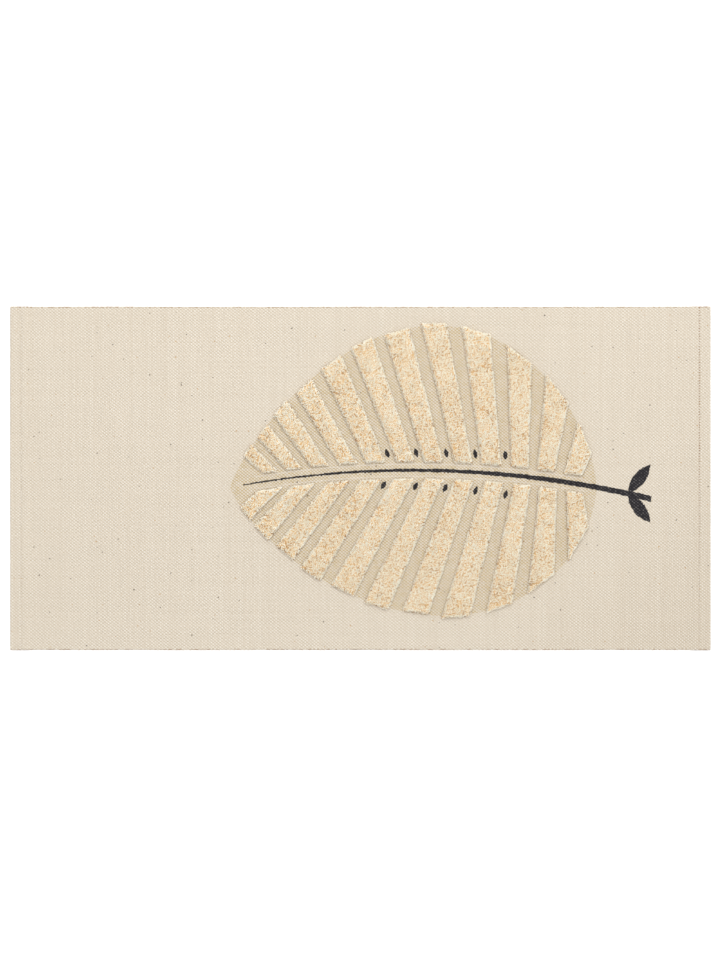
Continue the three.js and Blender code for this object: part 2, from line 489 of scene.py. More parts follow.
# %% [markdown]
# The print is flat colour in the cloth: a beige leaf blade, and a dark midrib, stalk, leaflets and
# seeds. The blade's outline is one formula of the place along the midrib, the same one that sets
# how far the ribs of pile reach. The seeds lie between the roots of neighbouring ribs, so their
# places are worked out from the ribs' own solids.

# %% The leaf's outline as a formula
LEAF_BASE_X = 472.0 * MM
LEAF_TIP_X = -260.0 * MM
LEAF_HALF_WIDTH = 290.0 * MM
LEAF_AXIS_Y = -18.0 * MM
LEAF_BOW = 34.0 * MM
BASE_FULLNESS = 0.6
TIP_FULLNESS = 0.8
WIDEST = BASE_FULLNESS / (BASE_FULLNESS + TIP_FULLNESS)

STALK_END = -0.15  # along the midrib, which runs from 0 at the blade's base to 1 at its tip
MIDRIB_END = 0.965
STALK_HALF = 6.2 * MM
MIDRIB_TIP_HALF = 1.2 * MM
BARE_LINE_OFF = 12.2 * MM  # a fine unprinted line on each side of the midrib
BARE_LINE_HALF = 1.2 * MM
BARE_LINE_FROM = 0.03
BARE_LINE_TO = 0.93
BLADE_EDGE = 0.5 * MM

ragged = (cloudiness(tree, plan, 330.0, 2.0) - 0.5) * (2.6 * MM)

leaf_length = LEAF_BASE_X - LEAF_TIP_X
along = (LEAF_BASE_X - x) / leaf_length
off_midrib = abs(y - (along * (1 - along) * (4 * LEAF_BOW) + LEAF_AXIS_Y))
from_base = (along.at_least(0.0) / WIDEST) ** BASE_FULLNESS
from_tip = ((1 - along).at_least(0.0) / (1 - WIDEST)) ** TIP_FULLNESS
blade_edge = from_base * from_tip * LEAF_HALF_WIDTH - off_midrib + ragged
blade = blade_edge.step_up(-BLADE_EDGE, BLADE_EDGE)

taper = (along - STALK_END) / (MIDRIB_END - STALK_END)
midrib_half = STALK_HALF + taper * (MIDRIB_TIP_HALF - STALK_HALF)
midrib_run = (along - STALK_END).at_most(MIDRIB_END - along) * leaf_length
midrib_span = midrib_run.at_most(midrib_half - off_midrib)

bare_edge = BARE_LINE_HALF - abs(off_midrib - BARE_LINE_OFF) + ragged * 0.5
bare_line = bare_edge.at_most((along - BARE_LINE_FROM).at_most(BARE_LINE_TO - along))
print("blade", round(leaf_length / MM), "mm long")

# %% Seeds between the ribs, and leaflets on the stalk
SEED_LENGTH = 19.0 * MM
SEED_WIDTH = 9.0 * MM
SEED_FROM_ROOT = 26.0 * MM
SEED_GAPS = (3, 4, 5, 6, 7)  # between this rib and the next, counted from the stalk
BESIDE_SEED = 22.0 * MM  # how much of each rib is measured for the gap's middle
LEAFLET_LENGTH = 74.0 * MM
LEAFLET_WIDTH = 25.0 * MM
LEAFLET_ALONG = -0.085
LEAFLET_SPREAD = math.radians(52)


def rib_plan(name):
    """A rib's points seen from above, its inner end, and the direction in which it runs."""
    points = np.array([v.co[:2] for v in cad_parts[name].data.vertices])
    middle = points.mean(0)
    axis = np.linalg.eigh(np.cov((points - middle).T))[1][:, -1]
    axis = axis * np.sign(axis[1] * (middle[1] - LEAF_AXIS_Y))
    return points, middle + axis * ((points - middle) @ axis).min(), axis


def gap_place(near, far, out):
    """The middle of the gap between two ribs, at a distance out from their roots."""
    (points_a, root_a, axis_a), (points_b, root_b, axis_b) = rib_plan(near), rib_plan(far)
    heading = (axis_a + axis_b) / np.linalg.norm(axis_a + axis_b)
    start = (root_a + root_b) / 2
    across = np.array([-heading[1], heading[0]])
    across = across * np.sign((root_b - root_a) @ across)
    beside = [p[np.abs((p - start) @ heading - out) < BESIDE_SEED] for p in (points_a, points_b)]
    edge_a = ((beside[0] - start) @ across).max()
    edge_b = ((beside[1] - start) @ across).min()
    return start + heading * out + across * (edge_a + edge_b) / 2, heading


def lens_mark(centre, heading, length, width):
    """A field that is positive inside a pointed oval, in metres from its edge or less."""
    dx = x - float(centre[0])
    dy = y - float(centre[1])
    lengthwise = (dx * float(heading[0]) + dy * float(heading[1])) / (length / 2)
    crosswise = abs(dy * float(heading[0]) - dx * float(heading[1])) / (width / 2)
    return (1 - lengthwise * lengthwise - crosswise) * (width / 2)


marks = []
for half in ("upper", "lower"):
    for gap in SEED_GAPS:
        near, far = (f"pile_rib_{half}_{number:02d}" for number in (gap, gap + 1))
        place, heading = gap_place(near, far, SEED_FROM_ROOT)
        marks.append(lens_mark(place, heading, SEED_LENGTH, SEED_WIDTH))

stem_x = LEAF_BASE_X - LEAFLET_ALONG * leaf_length
stem_y = LEAF_AXIS_Y + 4 * LEAF_BOW * LEAFLET_ALONG * (1 - LEAFLET_ALONG)
for side in (+1, -1):
    heading = np.array([math.cos(LEAFLET_SPREAD), side * math.sin(LEAFLET_SPREAD)])
    centre = np.array([stem_x, stem_y]) + heading * LEAFLET_LENGTH / 2
    marks.append(lens_mark(centre, heading, LEAFLET_LENGTH, LEAFLET_WIDTH))

dark_edge = midrib_span
for mark in marks:
    dark_edge = dark_edge.at_least(mark)
print("printed marks:", len(marks))

# %% [markdown]
# Unbleached cotton isn't one colour. Every thread has its own tone, which makes the faint streaks
# across the cloth, and every crossing has a little of its own. A crossing's chance is set against
# those of its four neighbours, so that pale and dull ones take turns and no blotches come of it.

# %% Tones of the yarn
WEFT_PALE = picture_colour(217, 211, 201)
WEFT_DULL = picture_colour(199, 189, 175)
# The warp colours are darker than the weft's partly as the warp's own tone and partly as painted shade,
# because the warp lies lower between the weft's floats.
WARP_PALE = picture_colour(200, 188, 169)
WARP_DULL = picture_colour(180, 166, 143)
STREAKS = 0.33  # how much a thread's own tone counts
PEPPER = 0.18  # how much a crossing's own tone counts

crossing = chance(tree, vector_of(tree, pick_number, end_number))
proud = crossing
for step_x, step_y in ((1, 0), (-1, 0), (0, 1), (0, -1)):
    beside = vector_of(tree, pick_number + step_x, end_number + step_y)
    proud = proud - 0.25 * chance(tree, beside)
weft_tone = 0.5 + STREAKS * (pick_tone - 0.5) + PEPPER * proud
warp_tone = 0.5 + STREAKS * (end_tone - 0.5) + PEPPER * proud
weft_yarn = blended(tree, weft_tone.step_up(0.2, 0.8), WEFT_DULL, WEFT_PALE)
warp_yarn = blended(tree, warp_tone.step_up(0.2, 0.8), WARP_DULL, WARP_PALE)
yarn = blended(tree, weft_shows, warp_yarn, weft_yarn)
print("yarn tones:", len(tree.nodes), "nodes so far")

# %% [markdown]
# Bits of seed husk stay in such yarn and show as small dark and tawny flecks. They are the middles
# of a few cells of a Voronoi pattern, and a cell's random colour says whether it has a fleck, of
# which kind and how large.

# %% Seed flecks in the yarn
SEED_DARK = picture_colour(84, 76, 68)
SEED_TAWNY = picture_colour(176, 142, 100)
FLECK_CELLS = 95.0  # to a metre
FLECK_RADIUS = 0.06  # of a cell, and as much again for the largest and for the soft rim

fleck = tree.nodes.new("ShaderNodeTexVoronoi")
fleck.voronoi_dimensions = "2D"
fleck.inputs["Scale"].default_value = FLECK_CELLS
tree.links.new(plan, fleck.inputs["Vector"])
fleck_chance = tree.nodes.new("ShaderNodeSeparateColor")
tree.links.new(fleck.outputs["Color"], fleck_chance.inputs["Color"])
fleck_near = Field(tree, fleck.outputs["Distance"])
is_dark = Field(tree, fleck_chance.outputs["Red"]).step_up(0.975, 1.0)
is_tawny = Field(tree, fleck_chance.outputs["Green"]).step_up(0.965, 1.0)
fleck_size = Field(tree, fleck_chance.outputs["Blue"])
speck_edge = fleck_near - FLECK_RADIUS * fleck_size
speck = 1 - speck_edge.step_up(FLECK_RADIUS, 2 * FLECK_RADIUS)
yarn = blended(tree, speck * is_dark * 0.95, yarn, SEED_DARK)
yarn = blended(tree, speck * is_tawny * 0.8, yarn, SEED_TAWNY)
print("flecks:", round(rug_length * rug_width * FLECK_CELLS ** 2), "cells, a few in a hundred of them used")

# %% [markdown]
# The needle leaves a row of small holes along each seam, and they are painted as dots of brown
# shade, strong near one corner and faint elsewhere. At the selvedges short ticks of painted shade
# lie between the weft's turns. Both are places in the cloth, so they are fields of x and y.

# %% Needle holes and selvedge ticks
SEAM_SHADE = picture_colour(168, 126, 76)
STITCH_PITCH = 5.2 * MM

# painted shade in the needle holes, strongest towards one corner
at_seam = 1 - abs(abs(x) - seam_x + waver * (1.2 * MM)).step_up(0.8 * MM, 2.2 * MM)
stitch_run = y / STITCH_PITCH + waver * 0.5
stitch_chance = chance(tree, vector_of(tree, stitch_run.floor(), 9.0))
on_hem = z.step_up(3.5 * MM, 4.5 * MM)
needle_hole_shade = at_seam * (1 - abs(stitch_run.fraction() - 0.5).step_up(0.1, 0.3)) * on_hem
hole_shade_strength = (0.1 + 0.9 * (x + 2.0 * y).step_up(0.1, 0.9)) * (0.45 + 0.55 * stitch_chance)
# painted shade: short brown ticks between the weft's turns along the selvedges
at_selvedge = abs(y).step_up(cloth_half - 2.4 * MM, cloth_half - 1.2 * MM)
selvedge_tick_shade = at_selvedge * chance(tree, vector_of(tree, pick_number, 5.0)).step_up(0.2, 0.9)
print(f"seams {SEAM_IN / MM:.1f} mm in from the ends, a stitch every {STITCH_PITCH / MM:.1f} mm")

# %% [markdown]
# Ink sits on the threads and misses some of the hollows between them, so both inks are patchy at
# the scale of one crossing. Colours are mixed from the bottom up: yarn with its flecks, beige ink,
# dark ink, the painted shade in the gaps, and last the painted shade of the holes and the ticks.
# Towards one corner the gaps get more painted shade, so the cloth is darker there.

# %% Two inks and the shade in the gaps
BEIGE_TINT = (0.79, 0.69, 0.46, 1.0)  # ink that the yarn shows through
NAVY_INK = picture_colour(13, 14, 25)
NAVY_WORN = picture_colour(84, 82, 82)
# painted shade in the hollows between threads
THREAD_GAP_SHADE = picture_colour(190, 172, 146)
# painted shade: how much darker the hollows get towards one corner
CORNER_SHADE = 0.2
INK_EDGE = 0.4 * MM


def tinted(share, colour, tint):
    """A colour multiplied by a tint, as far as the share says."""
    node = tree.nodes.new("ShaderNodeMix")
    node.data_type = "RGBA"
    node.blend_type = "MULTIPLY"
    tree.links.new(share.socket, node.inputs["Factor"])
    below, above = (socket for socket in node.inputs if socket.type == "RGBA")
    tree.links.new(colour, below)
    above.default_value = tint
    return next(socket for socket in node.outputs if socket.type == "RGBA")


on_top = z.step_up(1.2 * MM, 1.8 * MM)
hold = (0.74 - 0.58 * weft_shows + 0.65 * (crossing - 0.5)).at_least(0.0).at_most(1.0)
beige_share = blade * on_top * (1 - bare_line.step_up(-INK_EDGE, INK_EDGE)) * hold
inked = tinted(beige_share, yarn, BEIGE_TINT)

worn = weft_shows * weave_height * 1.5 + (crossing - 0.5) * 0.8
navy = blended(tree, worn.step_up(1.0, 2.1), NAVY_INK, NAVY_WORN)
thread_steps = (crossing - 0.5) * (1.8 * MM)
navy_share = (dark_edge + ragged * 0.6 + thread_steps).step_up(-INK_EDGE, INK_EDGE) * on_top
inked = blended(tree, navy_share * 0.97, inked, navy)

gap_chance = chance(tree, vector_of(tree, (pick + 0.5).floor(), (end + 0.5).floor(), 6.0))
gap_shade = (1 - weave_height.step_up(0.02, 0.5)) * (0.3 + gap_chance)
# painted shade: the hollows darken towards one corner
corner_shade = CORNER_SHADE * (x - y).step_up(0.5, 1.0) * (1 - weave_height.step_up(0.5, 1.1))
cloth_colour = tinted(gap_shade + corner_shade, inked, THREAD_GAP_SHADE)
cloth_colour = tinted(needle_hole_shade * hole_shade_strength, cloth_colour, SEAM_SHADE)
cloth_colour = tinted(selvedge_tick_shade * 0.65, cloth_colour, SEAM_SHADE)
tree.links.new(cloth_colour, weave_shader.inputs["Base Color"])
raise_surface(tree, weave_shader, weave_height, WEAVE_DEPTH)
ground.data.materials.append(woven)
print("weave shader:", len(tree.nodes), "nodes")

# %% [markdown]
# ## Yarn made by Geometry Nodes
#
# Three things on the rug are short pieces of yarn repeated many times: the loops of the pile, the
# turns of the weft at the selvedges and the stitches of the hems. Each is one bent tube that is
# copied to points. A shared function builds the tube: a line of a few points, bent into an arch by
# a formula, with a small round section. It also stores how high each point is in its arch, because
# the shaders paint shade at an arch's foot.

# %% A bent piece of yarn
def new_tree(name, *sizes):
    """A Geometry Nodes tree with one geometry in and out, and named sizes."""
    group = bpy.data.node_groups.new(name, "GeometryNodeTree")
    group.interface.new_socket("Geometry", in_out="INPUT", socket_type="NodeSocketGeometry")
    group.interface.new_socket("Geometry", in_out="OUTPUT", socket_type="NodeSocketGeometry")
    for label, kind in sizes:
        group.interface.new_socket(label, in_out="INPUT", socket_type=kind)
    return group, group.nodes.new("NodeGroupInput"), group.nodes.new("NodeGroupOutput")


def yarn_arch(group, span, height, twist, radius, points, sides):
    """A closed tube bent into an arch, standing on the origin. Sizes are sockets or numbers."""
    def field(value):
        return Field(group, value) if isinstance(value, bpy.types.NodeSocket) else value

    line = group.nodes.new("GeometryNodeCurvePrimitiveLine")
    even = group.nodes.new("GeometryNodeResampleCurve")
    even.inputs["Count"].default_value = points
    group.links.new(line.outputs["Curve"], even.inputs["Curve"])
    share = Field(group, group.nodes.new("GeometryNodeSplineParameter").outputs["Factor"])
    turn = share * (1.24 * math.pi) - 0.12 * math.pi  # past half a circle, so that both feet go under
    rise = turn.sine()
    sideways = calculate(group, "COSINE", turn) * field(span) * 0.5
    curl = (share * (2 * math.pi)).sine() * field(twist)
    bent = group.nodes.new("GeometryNodeSetPosition")
    group.links.new(even.outputs["Curve"], bent.inputs["Geometry"])
    group.links.new(vector_of(group, sideways, curl, rise * field(height)), bent.inputs["Position"])
    kept = group.nodes.new("GeometryNodeStoreNamedAttribute")
    kept.inputs["Name"].default_value = "rise"
    group.links.new(bent.outputs["Geometry"], kept.inputs["Geometry"])
    group.links.new(rise.at_least(0.0).socket, kept.inputs["Value"])
    ring = group.nodes.new("GeometryNodeCurvePrimitiveCircle")
    ring.inputs["Resolution"].default_value = sides
    if isinstance(radius, bpy.types.NodeSocket):
        group.links.new(radius, ring.inputs["Radius"])
    else:
        ring.inputs["Radius"].default_value = radius
    tube = group.nodes.new("GeometryNodeCurveToMesh")
    tube.inputs["Fill Caps"].default_value = True
    group.links.new(kept.outputs["Geometry"], tube.inputs["Curve"])
    group.links.new(ring.outputs["Curve"], tube.inputs["Profile Curve"])
    return tube.outputs["Mesh"]


def random_between(group, kind, low, high, seed):
    node = group.nodes.new("FunctionNodeRandomValue")
    node.data_type = kind
    of_kind = [s for s in node.inputs if s.enabled and s.name in ("Min", "Max")]
    of_kind[0].default_value = low
    of_kind[1].default_value = high
    node.inputs["Seed"].default_value = seed
    return next(s for s in node.outputs if s.enabled)


def shaded_copies(group, points, tube, rotation, scale, seed):
    """Copies of a tube on points, each with its own random shade, realized."""
    copies = group.nodes.new("GeometryNodeInstanceOnPoints")
    group.links.new(points, copies.inputs["Points"])
    group.links.new(tube, copies.inputs["Instance"])
    group.links.new(rotation, copies.inputs["Rotation"])
    group.links.new(scale, copies.inputs["Scale"])
    shade = group.nodes.new("GeometryNodeStoreNamedAttribute")
    shade.domain = "INSTANCE"
    shade.inputs["Name"].default_value = "shade"
    group.links.new(copies.outputs["Instances"], shade.inputs["Geometry"])
    group.links.new(random_between(group, "FLOAT", 0.0, 1.0, seed), shade.inputs["Value"])
    real = group.nodes.new("GeometryNodeRealizeInstances")
    group.links.new(shade.outputs["Geometry"], real.inputs["Geometry"])
    return real.outputs["Geometry"]


def finish_tree(group, geometry, output, material):
    coat = group.nodes.new("GeometryNodeSetMaterial")
    coat.inputs["Material"].default_value = material
    group.links.new(geometry, coat.inputs["Geometry"])
    group.links.new(coat.outputs["Geometry"], output.inputs["Geometry"])


def grown(source, group, **sizes):
    """Runs a tree on an object and leaves its result there as a plain mesh."""
    modifier = source.modifiers.new("grow", "NODES")
    modifier.node_group = group
    for socket in group.interface.items_tree:
        if socket.in_out == "INPUT" and socket.name in sizes:
            modifier[socket.identifier] = sizes[socket.name]
    view = bpy.context.evaluated_depsgraph_get()
    mesh = bpy.data.meshes.new_from_object(
        source.evaluated_get(view), preserve_all_data_layers=True, depsgraph=view)
    source.modifiers.clear()
    source.data = mesh
    mesh.name = source.name
    mesh.shade_smooth()
    return source


def triangles(piece):
    return sum(len(face.vertices) - 2 for face in piece.data.polygons)


print("yarn tools ready")

# %% [markdown]
# ## The pile
#
# On the real rug each rib is a dense block of short curly loops of cream cotton. Modelling one
# slab with bump would look like foam at its edges. Here each rib's solid gives a core that is
# drawn in by the loops' length, and loops stand all over the core's top and sides. At the sides
# they lean out, which gives the rib its splayed, bright flank.
#
# The yarn is cream and gold, paler or more golden from loop to loop. A loop's foot and the core
# between the loops get painted shade, the shortest loops get painted shade as if they sat in the
# others' shade, and the flanks get painted shade close to the cloth.

# %% Cream yarn
PILE_PALE = picture_colour(244, 242, 231)
PILE_GOLD = picture_colour(239, 228, 200)
# painted shade at the loops' feet and on the core between them
PILE_FOOT_SHADE = picture_colour(214, 180, 132)
# painted shade for the shortest loops
PILE_PIT_SHADE = picture_colour(178, 134, 88)  # the shortest loops, down in the shade of the others
# painted shade on the flanks near the cloth
PILE_ROOT_SHADE = picture_colour(180, 122, 62)  # the flanks close to the cloth
ROOT_LOW = 4.5 * MM
ROOT_HIGH = 8.5 * MM
ROOT_SHADE_SHARE = 0.45
FIBRE_DEPTH = 0.25 * MM

cream, pile_tree, pile_shader, px, py, pz = matt_material("cream_pile", roughness=0.95, sheen=0.15)


def attribute_field(group, name):
    node = group.nodes.new("ShaderNodeAttribute")
    node.attribute_name = name
    return Field(group, node.outputs["Fac"])


rise = attribute_field(pile_tree, "rise")
shade = attribute_field(pile_tree, "shade")
pile_place = vector_of(pile_tree, px, py, pz)
patch = cloudiness(pile_tree, pile_place, 26.0)
fibre = cloudiness(pile_tree, pile_place, 1500.0, 2.0)
# painted shade: loops with the lowest random number, more of them where the patch noise is low, are
# coloured as if in the others' shade
short_loop_shade = 1 - (shade + 0.6 * (patch - 0.5)).step_up(0.06, 0.21)
lightness = 0.4 * shade + 0.5 * (patch - 0.5) + 0.35 * (fibre - 0.5) + 0.3
pile_yarn = blended(pile_tree, lightness.step_up(0.0, 1.0), PILE_GOLD, PILE_PALE)
pile_yarn = blended(pile_tree, short_loop_shade, pile_yarn, PILE_PIT_SHADE)
# painted shade: a loop's foot, and the core between the loops, which has no rise, take the foot's shade
# colour
pile_colour = blended(pile_tree, rise.step_up(0.0, 0.35), PILE_FOOT_SHADE, pile_yarn)
# painted shade: the pile is browner below ROOT_HIGH, where the flanks are shaded close to the cloth
root_shade_share = ROOT_SHADE_SHARE * (1 - pz.step_up(ROOT_LOW, ROOT_HIGH))
pile_colour = blended(pile_tree, root_shade_share, pile_colour, PILE_ROOT_SHADE)
pile_tree.links.new(pile_colour, pile_shader.inputs["Base Color"])
raise_surface(pile_tree, pile_shader, fibre, FIBRE_DEPTH)
print("cream_pile:", len(pile_tree.nodes), "nodes")

# %% [markdown]
# The tree takes a rib's core. It pushes the core about with noise, so that the loops' feet stand
# unevenly, and spreads points on it with a least distance between them, so that loops crowd evenly.
# Every loop is turned and tilted its own way, and the whole pile lies a little towards one corner.
# One random number sets a loop's size and its tone, and the shortest loops also get painted shade.

# %% Uneven feet and leaning loops
JOSTLE = 4.5 * MM  # how unevenly the loops' feet stand, from one extreme to the other
JOSTLE_SCALE = 75.0
LOOPS_LEAN = (0.42, 0.26, 0.55)  # added to the core's normal
LOOP_TILT = 0.35
TILT_SEED = 3


def vector_step(group, operation, first, second):
    """One Vector Math node on a socket and a fixed vector, or a fixed number for a scale."""
    node = group.nodes.new("ShaderNodeVectorMath")
    node.operation = operation
    group.links.new(first, node.inputs[0])
    if operation == "SCALE":
        node.inputs["Scale"].default_value = second
    else:
        node.inputs[1].default_value = second
    return node.outputs["Vector"]


def uneven_feet(group, mesh):
    """The core's mesh, divided and pushed about by noise."""
    finer = group.nodes.new("GeometryNodeSubdivideMesh")
    finer.inputs["Level"].default_value = 2
    group.links.new(mesh, finer.inputs["Mesh"])
    place = group.nodes.new("GeometryNodeInputPosition").outputs["Position"]
    jostle = group.nodes.new("ShaderNodeTexNoise")
    jostle.inputs["Scale"].default_value = JOSTLE_SCALE
    group.links.new(place, jostle.inputs["Vector"])
    centred = vector_step(group, "SUBTRACT", jostle.outputs["Color"], (0.5, 0.5, 0.5))
    uneven = group.nodes.new("GeometryNodeSetPosition")
    group.links.new(finer.outputs["Mesh"], uneven.inputs["Geometry"])
    group.links.new(vector_step(group, "SCALE", centred, JOSTLE), uneven.inputs["Offset"])
    return uneven.outputs["Geometry"]


def leaning_turn(group, normal):
    """A rotation that stands a loop on the core, leaning with the pile and tilted its own way."""
    stand = group.nodes.new("FunctionNodeAlignRotationToVector")
    stand.axis = "Z"
    group.links.new(vector_step(group, "ADD", normal, LOOPS_LEAN), stand.inputs["Vector"])
    most = (LOOP_TILT, LOOP_TILT, math.pi)
    tilt = random_between(group, "FLOAT_VECTOR", tuple(-angle for angle in most), most, TILT_SEED)
    tilt_turn = group.nodes.new("FunctionNodeEulerToRotation")
    group.links.new(tilt, tilt_turn.inputs["Euler"])
    turned = group.nodes.new("FunctionNodeRotateRotation")
    turned.rotation_space = "LOCAL"
    group.links.new(stand.outputs["Rotation"], turned.inputs["Rotation"])
    group.links.new(tilt_turn.outputs["Rotation"], turned.inputs["Rotate By"])
    return turned.outputs["Rotation"]


print("pile leans", round(math.degrees(math.atan2(*LOOPS_LEAN[1::-1]))), "degrees from the rug's length")

# %% A tree that grows loops on a rib's core
LOOP_APART = 1.75 * MM
LOOP_SPAN = 1.2 * MM
LOOP_HEIGHT = 3.0 * MM
LOOP_CURL = 0.3 * MM
YARN_RADIUS = 0.92 * MM
LOOPS_TRIED = 900000.0  # to a square metre, of which those too close together are dropped
SHORTEST_LOOP = 0.62
LOOP_SEED = 11
SHADE_SEED = 7  # for size and shade alike


def loop_pile_tree(material):
    group, given, output = new_tree(
        "loop_pile",
        ("Apart", "NodeSocketFloat"), ("Span", "NodeSocketFloat"), ("Height", "NodeSocketFloat"),
        ("Curl", "NodeSocketFloat"), ("Yarn radius", "NodeSocketFloat"), ("Seed", "NodeSocketInt"))
    face_normal = group.nodes.new("GeometryNodeInputNormal").outputs["Normal"]
    split = group.nodes.new("ShaderNodeSeparateXYZ")
    group.links.new(face_normal, split.inputs["Vector"])
    not_underneath = calculate(group, "GREATER_THAN", Field(group, split.outputs["Z"]), -0.3)

    spread = group.nodes.new("GeometryNodeDistributePointsOnFaces")
    spread.distribute_method = "POISSON"
    group.links.new(uneven_feet(group, given.outputs["Geometry"]), spread.inputs["Mesh"])
    group.links.new(not_underneath.socket, spread.inputs["Selection"])
    group.links.new(given.outputs["Apart"], spread.inputs["Distance Min"])
    spread.inputs["Density Max"].default_value = LOOPS_TRIED
    group.links.new(given.outputs["Seed"], spread.inputs["Seed"])

    arch = yarn_arch(group, given.outputs["Span"], given.outputs["Height"], given.outputs["Curl"],
                     given.outputs["Yarn radius"], points=4, sides=3)
    turn = leaning_turn(group, spread.outputs["Normal"])
    tallness = Field(group, random_between(group, "FLOAT", 0.0, 1.0, SHADE_SEED))
    size = SHORTEST_LOOP + 0.3 * tallness.step_up(0.05, 0.3) + 0.18 * tallness
    loops = shaded_copies(group, spread.outputs["Points"], arch, turn, size.socket, SHADE_SEED)
    together = group.nodes.new("GeometryNodeJoinGeometry")
    group.links.new(given.outputs["Geometry"], together.inputs["Geometry"])
    group.links.new(loops, together.inputs["Geometry"])
    finish_tree(group, together.outputs["Geometry"], output, material)
    return group


loop_pile = loop_pile_tree(cream)
print("loop_pile:", len(loop_pile.nodes), "nodes")

# %% A core and its loops for every rib
CORE_IN = 2.2 * MM
CROWN_OVER = 2.0 * MM  # how far the pile's crown hangs over, the way its loops lean
FOOT_IN = 0.3  # how much of the drawing in is left at the foot
STILL = 0.3  # the share of the pile's height that stays in place as it leans


def rib_core(node):
    """A merged copy of a rib's solid, drawn in all round, less at its foot, and leaning a little."""
    work = bmesh.new()
    work.from_mesh(node.data)
    bmesh.ops.remove_doubles(work, verts=work.verts, dist=0.01 * MM)
    work.normal_update()
    foot, crown = (choose(v.co.z for v in work.verts) for choose in (min, max))
    aside = Vector(LOOPS_LEAN[:2]).normalized().to_3d() * CROWN_OVER
    inward = [-v.normal for v in work.verts]
    for vertex, move in zip(work.verts, inward):
        if vertex.co.z < foot + 0.1 * MM:
            move = Vector((move.x, move.y, 0)).normalized() * FOOT_IN
        vertex.co += move * CORE_IN + aside * ((vertex.co.z - foot) / (crown - foot) - STILL)
    name = node.name + "_loops"
    mesh = bpy.data.meshes.new(name)
    work.to_mesh(mesh)
    work.free()
    core = bpy.data.objects.new(name, mesh)
    scene.collection.objects.link(core)
    return core


pile_pieces = {}
for number, name in enumerate(rib_names):
    pile_pieces[name] = grown(
        rib_core(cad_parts[name]), loop_pile,
        Apart=LOOP_APART, Span=LOOP_SPAN, Height=LOOP_HEIGHT, Curl=LOOP_CURL,
        **{"Yarn radius": YARN_RADIUS, "Seed": LOOP_SEED + number})
pile_triangles = {name: triangles(piece) for name, piece in pile_pieces.items()}
print("pile:", sum(pile_triangles.values()), "triangles, at most", max(pile_triangles.values()), "a rib")

# %% [markdown]
# ## Selvedges and hem stitches
#
# At a selvedge each weft thread turns round the last warp thread and goes back, so the edge is a row
# of small round turns. The hems are held by a row of short stitches that dip into the cloth. Both
# rows are yarn arches copied along a line of points: lying flat at the selvedges and standing low
# at the hems.

# %% Ecru yarn for edges and stitches
edge_yarn, edge_tree, edge_shader, ex, ey, ez = matt_material("ecru_yarn", roughness=0.92, sheen=0.12)
edge_shade = attribute_field(edge_tree, "shade")
edge_rise = attribute_field(edge_tree, "rise")
edge_fibre = cloudiness(edge_tree, vector_of(edge_tree, ex, ey, ez), 1500.0)
edge_light = 0.7 * edge_shade + 0.5 * (edge_fibre - 0.5) + 0.15
edge_base = blended(edge_tree, edge_light.step_up(0.0, 1.0), WARP_PALE, WEFT_PALE)
# painted shade: the foot of each turn and stitch takes the dull warp colour
edge_colour = blended(edge_tree, edge_rise.step_up(0.0, 0.5), WARP_DULL, edge_base)
edge_tree.links.new(edge_colour, edge_shader.inputs["Base Color"])
raise_surface(edge_tree, edge_shader, edge_fibre, FIBRE_DEPTH)
print("ecru_yarn:", len(edge_tree.nodes), "nodes")


def yarn_row_tree(name, material, rotation, spread_turn, seed):
    """Arches of yarn at every point of the given mesh, turned the same way with small differences."""
    group, given, output = new_tree(
        name, ("Span", "NodeSocketFloat"), ("Height", "NodeSocketFloat"),
        ("Curl", "NodeSocketFloat"), ("Yarn radius", "NodeSocketFloat"))
    to_points = group.nodes.new("GeometryNodeMeshToPoints")
    group.links.new(given.outputs["Geometry"], to_points.inputs["Mesh"])
    low = tuple(angle - spread_turn for angle in rotation)
    high = tuple(angle + spread_turn for angle in rotation)
    turn = random_between(group, "FLOAT_VECTOR", low, high, seed)
    as_rotation = group.nodes.new("FunctionNodeEulerToRotation")
    group.links.new(turn, as_rotation.inputs["Euler"])
    arch = yarn_arch(group, given.outputs["Span"], given.outputs["Height"], given.outputs["Curl"],
                     given.outputs["Yarn radius"], points=6, sides=6)
    size = random_between(group, "FLOAT", 0.85, 1.15, seed + 1)
    row = shaded_copies(group, to_points.outputs["Points"], arch,
                        as_rotation.outputs["Rotation"], size, seed + 2)
    finish_tree(group, row, output, material)
    return group


def point_row(name, points):
    return mesh_object(name, points, [])


# %% Weft turns along the two selvedges
TURN_APART = 2 * WEFT_PITCH
TURN_RADIUS = 0.85 * MM
TURN_IN = 1.1 * MM  # from the cloth's edge to the turn's feet
ARCH_SHARE = 0.62  # an arch's span, as a share of the way to the next one
ARCH_HEIGHT = 0.8 * MM
turn_count = int((2 * fold_x) / TURN_APART)
turn_x = (np.arange(turn_count) - (turn_count - 1) / 2) * TURN_APART

top_line = half_line[:np.argmax(half_line[:, 0] >= fold_x) + 1]
selvedges = {}
for side, name in ((+1, "selvedge_far"), (-1, "selvedge_near")):
    edge_y = side * (cloth_half - TURN_IN + edge_wander(turn_x, side))
    edge_z = np.interp(np.abs(turn_x), top_line[:, 0], top_line[:, 1]) + swell(turn_x, edge_y)
    row = point_row(name, np.column_stack([turn_x, edge_y, edge_z]))
    turns = yarn_row_tree(name + "_turns", edge_yarn, (-side * math.pi / 2, 0, 0), 0.14, seed=21)
    selvedges[name] = grown(row, turns, Span=TURN_APART * ARCH_SHARE, Height=ARCH_HEIGHT, Curl=0.0,
                            **{"Yarn radius": TURN_RADIUS})
print("selvedges:", 2 * turn_count, "turns,", sum(triangles(s) for s in selvedges.values()), "triangles")

